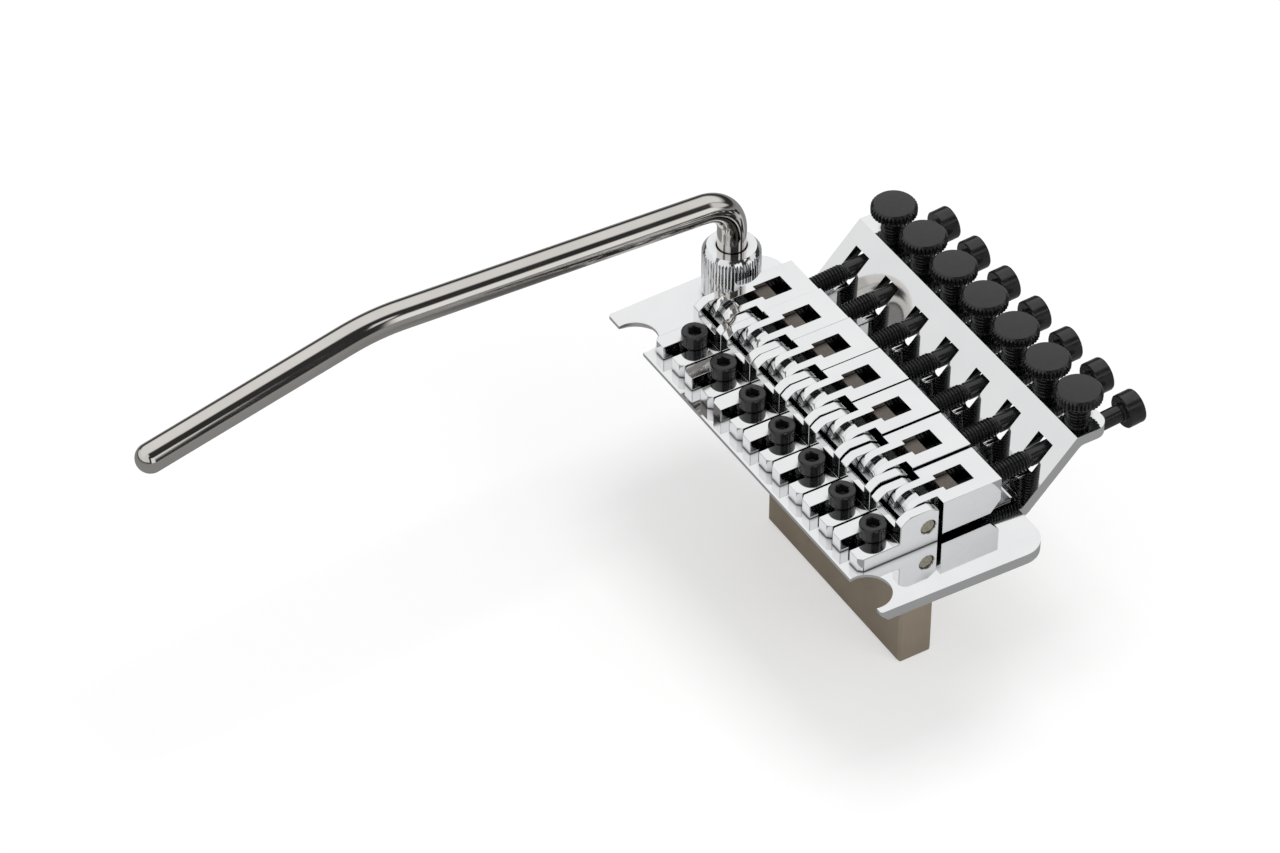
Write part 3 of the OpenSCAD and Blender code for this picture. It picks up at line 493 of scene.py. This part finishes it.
def turned(rings, segments=48):
    """Closed turned form of rings of radius and height, the radius a number or a function of the angle."""
    angles = [2 * math.pi * k / segments for k in range(segments)]
    vertices = [(0, 0, rings[0][1])]
    for radius, height in rings:
        for angle in angles:
            r = radius(angle) if callable(radius) else radius
            vertices.append((r * math.cos(angle), r * math.sin(angle), height))
    vertices.append((0, 0, rings[-1][1]))
    faces = []
    for k in range(segments):
        after = (k + 1) % segments
        faces.append((0, 1 + after, 1 + k))
        for ring in range(len(rings) - 1):
            low, high = 1 + ring * segments, 1 + (ring + 1) * segments
            faces.append((low + k, low + after, high + after, high + k))
        last = 1 + (len(rings) - 1) * segments
        faces.append((last + k, last + after, len(vertices) - 1))
    return np.array(vertices, float), faces


def placed(vertices, matrix):
    """Vertices in millimetres, moved by a 4 by 4 matrix in millimetres."""
    return vertices @ np.array(matrix.to_3x3()).T + np.array(matrix.translation)


def thread_rings(diameter, pitch, start, end):
    """Rings of a screw thread between two heights, running out at both ends."""
    depth = pitch * THREAD_DEPTH
    count = int(round((end - start) / pitch * THREAD_SAMPLES))

    def radius_at(height):
        run = min((height - start) / pitch, (end - height) / pitch, 1.0)
        phase = (height / pitch) % 1.0
        crest = min(max((abs(2 * phase - 1) - THREAD_VALLEY) / THREAD_FLANK, 0.0), 1.0)
        return diameter / 2 - depth * (1 - crest * max(run, 0.0))

    heights = [start + (end - start) * k / count for k in range(count + 1)]
    return [(radius_at(height), height) for height in heights]


def hexagon(flats):
    """Radius function of a hexagonal hole."""
    def radius(angle):
        turn = (angle + math.pi / 6) % (math.pi / 3) - math.pi / 6
        return flats / 2 / math.cos(turn)
    return radius


def socket_rings(head_r, top, flats, bevel):
    """Rings of a cap head's top, its chamfered hex socket and the socket's floor."""
    return [
        (head_r, top - bevel),
        (head_r - bevel * HEAD_CORNER, top - bevel * HEAD_CORNER),
        (head_r - bevel, top),
        (flats / 2 / math.cos(math.pi / 6) + HEX_CHAMFER_W, top),
        (hexagon(flats), top - HEX_CHAMFER_H),
        (hexagon(flats), top - HEX_DEPTH),
        (HEX_CONE_R, top - HEX_DEPTH - HEX_CONE_H),
    ]


def knurled(radius, teeth, depth):
    """Radius function of a straight knurl with round teeth and sharp valleys."""
    def at(angle):
        wave = abs(math.sin(teeth * angle / 2))
        return radius - depth * (1 - wave)
    return at


def knurled_foot(radius, teeth, bottom, foot):
    """Rings of a knurl's lower edge, each from an inset, a rise and the teeth's depth."""
    return [(knurled(radius - inset, teeth, depth), bottom + rise) for inset, rise, depth in foot]


def cone_cut(outline, radius, width):
    """Radius function of an outline, cut by a cone that is that much narrower than the radius."""
    return lambda angle: min(outline(angle), radius - width)


def knurled_bevel(outline, radius, start, width, height):
    """Rings of a bevel of that width and height, which cuts an outline from a starting height up."""
    parts = [step / BEVEL_CUTS for step in range(1, BEVEL_CUTS + 1)]
    return [(cone_cut(outline, radius, width * part), start + height * part) for part in parts]


def string_place(k):
    """String k's place across, and how far its saddle rises above the outermost ones."""
    x, _, z = JOINTS[f"block_{k}_tilt"]["pos_m"]
    return x / MM, z / MM - PIN_Z


def upright(node):
    """An upright node's axis, as its place across and along, and its lowest and highest point."""
    low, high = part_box(node)
    return (low.x + high.x) / 2 / MM, (low.y + high.y) / 2 / MM, low.z / MM, high.z / MM


def make_lock_screws():
    """Long black screws behind the blocks, with threads, smooth shafts and socket heads."""
    for k in STRINGS:
        x, lift = string_place(k)
        axis = Vector(JOINTS[f"lock_screw_{k}_travel"]["axis"])
        low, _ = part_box(f"lock_screw_{k}")
        tip = (low.y / MM - BLOCK_REAR_Y) / axis.y + LOCK_TIP_D / 2 * abs(axis.z) / axis.y
        top = (LOCK_HEAD_Y - BLOCK_REAR_Y) / axis.y + LOCK_HEAD_L / 2
        under = top - LOCK_HEAD_L
        rings = [(LOCK_TIP_D / 2, tip), (LOCK_ROOT_D / 2, tip + LOCK_TIP_L)]
        rings += thread_rings(LOCK_THREAD_D, LOCK_PITCH, tip + LOCK_TIP_L, LOCK_THREAD_OUT)
        rings += [
            (LOCK_SHAFT_D / 2, LOCK_THREAD_OUT + LOCK_RUNOUT),
            (LOCK_SHAFT_D / 2, under - LOCK_EASE),
            (LOCK_SHAFT_D / 2 + LOCK_EASE, under),
            (LOCK_HEAD_D / 2 - LOCK_EASE, under),
            (LOCK_HEAD_D / 2, under + LOCK_EASE),
        ]
        rings += socket_rings(LOCK_HEAD_D / 2, top, LOCK_HEX, LOCK_HEAD_BEVEL)
        vertices, faces = turned(rings, THREAD_CORNERS)
        turn = axis.to_track_quat("Z", "X").to_matrix().to_4x4()
        place = Matrix.Translation((x, BLOCK_REAR_Y, LOCK_Z_BLOCK + lift)) @ turn
        vertices = placed(vertices, place)
        add_piece(f"lock_screw_{k}", vertices, faces, BLACK, f"lock_{k}")


def make_intonation_screws():
    """Black socket-head screws in the slots of the saddle feet."""
    for k in STRINGS:
        x, y, bottom, top = upright(f"intonation_screw_{k}")
        under = top - SCREW_HEAD_H
        neck = under - SCREW_NECK_L
        rings = [(SCREW_TIP_D / 2, bottom), (SCREW_ROOT_D / 2, bottom + SCREW_TIP_L)]
        rings += thread_rings(SCREW_D, SCREW_PITCH, bottom + SCREW_TIP_L, neck - SCREW_RUNOUT)
        rings += [
            (SCREW_NECK_D / 2, neck),
            (SCREW_D / 2, under),
            (SCREW_HEAD_D / 2 - SCREW_EASE, under),
            (SCREW_HEAD_D / 2, under + SCREW_EASE),
        ]
        rings += socket_rings(SCREW_HEAD_D / 2, top, SCREW_HEX, SCREW_HEAD_BEVEL)
        vertices, faces = turned(rings)
        vertices = placed(vertices, Matrix.Translation((x, y, 0)))
        add_piece(f"intonation_screw_{k}", vertices, faces, BLACK, f"intonation_{k}")


def joined(*shells):
    """Several closed forms as one mesh."""
    vertices, faces = [], []
    for shell_vertices, shell_faces in shells:
        faces += [tuple(index + len(vertices) for index in face) for face in shell_faces]
        vertices += list(shell_vertices)
    return np.array(vertices), faces


def make_fine_tuners():
    """Knurled knobs on threaded stems. The bevel round the top cuts across the teeth."""
    for k in STRINGS:
        x, y, tip, top = upright(f"fine_tuner_{k}")
        knob_r = KNOB_D / 2
        under = top - KNOB_T
        collar = under - TUNER_COLLAR_H
        stem = [(TUNER_TIP_D / 2, tip), (TUNER_ROOT_D / 2, tip + TUNER_TIP_L)]
        stem += thread_rings(TUNER_D, TUNER_PITCH, tip + TUNER_TIP_L, collar - TUNER_RUNOUT)
        stem += [
            (TUNER_NECK_D / 2, collar),
            (TUNER_COLLAR_D / 2 - TUNER_EASE, collar),
            (TUNER_COLLAR_D / 2, collar + TUNER_EASE),
            (TUNER_COLLAR_D / 2, under + TUNER_COLLAR_SUNK),
        ]
        teeth = knurled(knob_r, KNOB_TEETH, KNOB_TOOTH_DEPTH)
        knob = knurled_foot(knob_r, KNOB_TEETH, under, KNOB_FOOT)
        knob += [(teeth, under + KNOB_EDGE), (teeth, top - KNOB_EDGE)]
        knob += knurled_bevel(teeth, knob_r, top - KNOB_EDGE, KNOB_BEVEL_W, KNOB_BEVEL_H)
        knob += [(knob_r - inset, top - drop) for inset, drop in KNOB_RIM]
        vertices, faces = joined(turned(stem, THREAD_CORNERS), turned(knob, KNOB_TEETH * TOOTH_CORNERS))
        vertices = placed(vertices, Matrix.Translation((x, y, 0)))
        add_piece(f"fine_tuner_{k}", vertices, faces, KNOB_BLACK, f"tuner_{k}")


def make_collar():
    """Knurled cap over the arm's socket, with a smooth bevel round its top."""
    low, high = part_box("arm_collar")
    bottom, top = low.z / MM, high.z / MM
    r = (high.x - low.x) / 2 / MM
    mouth = ARM_D / 2 + COLLAR_MOUTH_GAP
    roof = top - COLLAR_ROOF_T
    bevel = top - COLLAR_BEVEL_H
    teeth = knurled(r, COLLAR_TEETH, COLLAR_TOOTH_DEPTH)
    rings = [
        (COLLAR_BORE_R, roof),
        (COLLAR_BORE_R, bottom + COLLAR_BORE_EASE),
        (COLLAR_BORE_R + COLLAR_BORE_EASE, bottom),
    ]
    rings += knurled_foot(r, COLLAR_TEETH, bottom, COLLAR_FOOT)
    rings.append((teeth, bevel))
    cut_w, cut_h = COLLAR_BEVEL_W * COLLAR_BEVEL_CUT, COLLAR_BEVEL_H * COLLAR_BEVEL_CUT
    rings += knurled_bevel(teeth, r, bevel, cut_w, cut_h)
    rings += [(r - inset, top - drop) for inset, drop in COLLAR_RIM]
    rings += [
        (mouth + COLLAR_MOUTH_EASE, top),
        (mouth, top - COLLAR_MOUTH_EASE),
        (mouth, roof),
    ]
    segments = COLLAR_TEETH * TOOTH_CORNERS
    vertices, faces = turned(rings, segments)
    # the roof's underside joins the last ring to the first, in place of the two caps
    faces = [face for face in faces if len(face) == 4]
    last = 1 + (len(rings) - 1) * segments
    for k in range(segments):
        after = (k + 1) % segments
        faces.append((last + k, last + after, 1 + after, 1 + k))
    vertices = vertices[1:-1]
    faces = [tuple(index - 1 for index in face) for face in faces]
    vertices = placed(vertices, Matrix.Translation((*ARM_AXIS, 0)))
    add_piece("arm_collar", vertices, faces, CHROME, "collar")


def arm_path():
    """Points along the arm's axis, each a reach from its post, a height and the axis's slope there."""
    turn_1 = math.pi / 2 - ARM_RISE
    turn_2 = ARM_RISE + ARM_FALL
    corner = ARM_CORNER_R * math.tan(turn_1 / 2)
    knee = ARM_KNEE_R * math.tan(turn_2 / 2)
    path = [(0.0, ARM_FOOT_Z + ARM_FOOT_BEVEL, math.pi / 2), (0.0, ARM_CORNER_Z - corner, math.pi / 2)]
    for k in range(1, ARM_CORNER_STEPS + 1):
        turn = turn_1 * k / ARM_CORNER_STEPS
        path.append((
            ARM_CORNER_R * (1 - math.cos(turn)),
            ARM_CORNER_Z - corner + ARM_CORNER_R * math.sin(turn),
            math.pi / 2 - turn,
        ))
    knee_z = ARM_CORNER_Z + ARM_KNEE_REACH * math.tan(ARM_RISE)
    start = (ARM_KNEE_REACH - knee * math.cos(ARM_RISE), knee_z - knee * math.sin(ARM_RISE))
    path.append((*start, ARM_RISE))
    centre = (start[0] + ARM_KNEE_R * math.sin(ARM_RISE), start[1] - ARM_KNEE_R * math.cos(ARM_RISE))
    for k in range(1, ARM_KNEE_STEPS + 1):
        slope = ARM_RISE - turn_2 * k / ARM_KNEE_STEPS
        reach = centre[0] - ARM_KNEE_R * math.sin(slope)
        path.append((reach, centre[1] + ARM_KNEE_R * math.cos(slope), slope))
    tip_z = knee_z - (ARM_TIP_REACH - ARM_KNEE_REACH) * math.tan(ARM_FALL)
    path.append((ARM_TIP_REACH, tip_z, -ARM_FALL))
    return path


def make_arm():
    """The bent rod: a swept round section with a bevelled foot and a rounded tip."""
    r = ARM_D / 2 - ARM_INSET
    stations = [(reach, z, slope, r) for reach, z, slope in arm_path()]
    stations.insert(0, (0.0, ARM_FOOT_Z, math.pi / 2, r - ARM_FOOT_BEVEL))
    reach, z, slope, _ = stations[-1]
    for k in range(1, ARM_TIP_STEPS + 1):
        turn = math.pi / 2 * k / (ARM_TIP_STEPS + ARM_TIP_FLAT)
        along = r * math.sin(turn)
        tip = (reach + along * math.cos(slope), z + along * math.sin(slope))
        stations.append((*tip, slope, r * math.cos(turn)))
    forward = Vector((math.cos(ARM_HEADING), math.sin(ARM_HEADING), 0))
    side = Vector((-math.sin(ARM_HEADING), math.cos(ARM_HEADING), 0))
    up = Vector((0, 0, 1))
    base = Vector((*ARM_AXIS, 0))
    vertices = []
    for reach, z, slope, radius in stations:
        centre = base + forward * reach + up * z
        across = up * math.cos(slope) - forward * math.sin(slope)
        for k in range(ARM_SEGMENTS):
            angle = 2 * math.pi * k / ARM_SEGMENTS
            vertices.append(centre + (side * math.cos(angle) + across * math.sin(angle)) * radius)
    faces = [tuple(range(ARM_SEGMENTS))]
    for ring in range(len(stations) - 1):
        low, high = ring * ARM_SEGMENTS, (ring + 1) * ARM_SEGMENTS
        for k in range(ARM_SEGMENTS):
            after = (k + 1) % ARM_SEGMENTS
            faces.append((low + after, low + k, high + k, high + after))
    last = (len(stations) - 1) * ARM_SEGMENTS
    faces.append(tuple(last + k for k in reversed(range(ARM_SEGMENTS))))
    add_piece("tremolo_arm", vertices, faces, ARM_STEEL, "arm")


def dress(node, material, bevel=0.0):
    """Gives a CAD node its finish and, where asked, edges rounded by that many millimetres."""
    piece = NODES[node]
    mesh = piece.data
    if "custom_normal" in mesh.attributes:
        mesh.attributes.remove(mesh.attributes["custom_normal"])
    mesh.materials.clear()
    mesh.materials.append(material)
    mesh.shade_smooth()
    weld = piece.modifiers.new("weld", "WELD")
    weld.merge_threshold = WELD_WITHIN
    if bevel:
        flat = piece.modifiers.new("flat", "DECIMATE")
        flat.decimate_type = "DISSOLVE"
        flat.angle_limit = math.radians(FLAT_BELOW)
        edge = piece.modifiers.new("edge", "BEVEL")
        edge.width = bevel * MM
        edge.segments = BEVEL_STEPS
        edge.limit_method = "ANGLE"
        edge.angle_limit = math.radians(BEVEL_ABOVE)
        edge.miter_outer = "MITER_ARC"
        edge.use_clamp_overlap = True
    normals = piece.modifiers.new("normals", "WEIGHTED_NORMAL")
    normals.weight = 50
    normals.keep_sharp = False


def dress_cad_nodes():
    """The CAD nodes that show as they are, each with its finish."""
    dress("base_plate", CHROME, 0.18)
    dress("sustain_block", NICKEL, 0.15)
    dress("block_screws", BLACK)
    dress("leaf_springs", SPRING_STEEL)
    dress("leaf_screws", BLACK)
    dress("arm_socket", CHROME, 0.1)
    dress("socket_nut", CHROME, 0.1)
    dress("friction_washers", PLASTIC)
    for k in STRINGS:
        dress(f"saddle_foot_{k}", CHROME_FOOT, 0.14)
        dress(f"saddle_pin_{k}", PIN_STEEL, 0.28)
        dress(f"string_block_{k}", CHROME_BLOCK, 0.14)
        dress(f"string_insert_{k}", INSERT_STEEL, 0.1)


def make_stage():
    """Pale floor that keeps the object's shadow, darker where the metal mirrors it."""
    floor_z = cad_box[0].z
    signs = ((-1, -1), (1, -1), (1, 1), (-1, 1))
    corners = [(x * FLOOR_HALF, y * FLOOR_HALF, floor_z) for x, y in signs]
    mesh = bpy.data.meshes.new("floor")
    mesh.from_pydata(corners, [], [(0, 1, 2, 3)])
    floor = bpy.data.objects.new("floor", mesh)
    bpy.context.scene.collection.objects.link(floor)
    material = bpy.data.materials.new("floor_white")
    material.use_nodes = True
    material.node_tree.nodes.clear()
    nodes = Nodes(material.node_tree)
    path = nodes.add("ShaderNodeLightPath")
    paper = nodes.add("ShaderNodeBsdfDiffuse")
    paper.inputs["Color"].default_value = (FLOOR_PAPER, FLOOR_PAPER, FLOOR_PAPER, 1)
    glow = nodes.add("ShaderNodeEmission")
    level = nodes.math("MULTIPLY", path.outputs["Is Camera Ray"], FLOOR_GLOW)
    nodes.link(level, glow.inputs["Strength"])
    both = nodes.add("ShaderNodeAddShader")
    nodes.link(paper.outputs[0], both.inputs[0])
    nodes.link(glow.outputs[0], both.inputs[1])
    mirrored = nodes.add("ShaderNodeBsdfDiffuse")
    mirrored.inputs["Color"].default_value = (FLOOR_IN_METAL, FLOOR_IN_METAL, FLOOR_IN_METAL, 1)
    seen = nodes.mix(path.outputs["Is Glossy Ray"], both.outputs[0], mirrored.outputs[0])
    nodes.link(seen, nodes.add("ShaderNodeOutputMaterial").inputs["Surface"])
    mesh.materials.append(material)


def make_world():
    """White for the camera, a dark studio with bright cards for the metal, even fill for the rest."""
    world = bpy.data.worlds.new("world")
    bpy.context.scene.world = world
    world.use_nodes = True
    world.node_tree.nodes.clear()
    nodes = Nodes(world.node_tree)
    towards = nodes.add("ShaderNodeSeparateXYZ")
    nodes.link(nodes.add("ShaderNodeTexCoord").outputs["Generated"], towards.inputs[0])

    def background(level):
        node = nodes.add("ShaderNodeBackground")
        node.inputs["Color"].default_value = (1, 1, 1, 1)
        nodes.feed(level, node.inputs["Strength"])
        return node.outputs[0]

    studio = STUDIO_DARK
    for level, *edges in CARDS:
        for axis, none, full in edges:
            edge = nodes.ranged(towards.outputs[axis], none, full, steps="SMOOTHSTEP")
            level = nodes.math("MULTIPLY", edge, level)
        studio = nodes.math("MAXIMUM", studio, level)
    path = nodes.add("ShaderNodeLightPath")
    lit = nodes.mix(path.outputs["Is Glossy Ray"], background(FILL), background(studio))
    seen = nodes.mix(path.outputs["Is Camera Ray"], lit, background(1.0))
    nodes.link(seen, nodes.add("ShaderNodeOutputWorld").inputs["Surface"])


def add_softbox(name, location, size, watts):
    """Lamp for the diffuse surfaces. The metal mirrors the world's cards in its place."""
    data = bpy.data.lights.new(name, "AREA")
    data.shape = "RECTANGLE"
    data.size, data.size_y = size
    data.energy = watts
    lamp = bpy.data.objects.new(name, data)
    lamp.location = location
    lamp.rotation_mode = "QUATERNION"
    lamp.rotation_quaternion = (-Vector(location)).to_track_quat("-Z", "Y")
    lamp.visible_glossy = False
    bpy.context.scene.collection.objects.link(lamp)


bpy.context.scene.view_settings.view_transform = "Standard"
make_camera()
make_stage()
make_world()
for softbox in SOFTBOXES:
    add_softbox(*softbox)
dress_cad_nodes()
make_lock_screws()
make_intonation_screws()
make_fine_tuners()
make_collar()
make_arm()
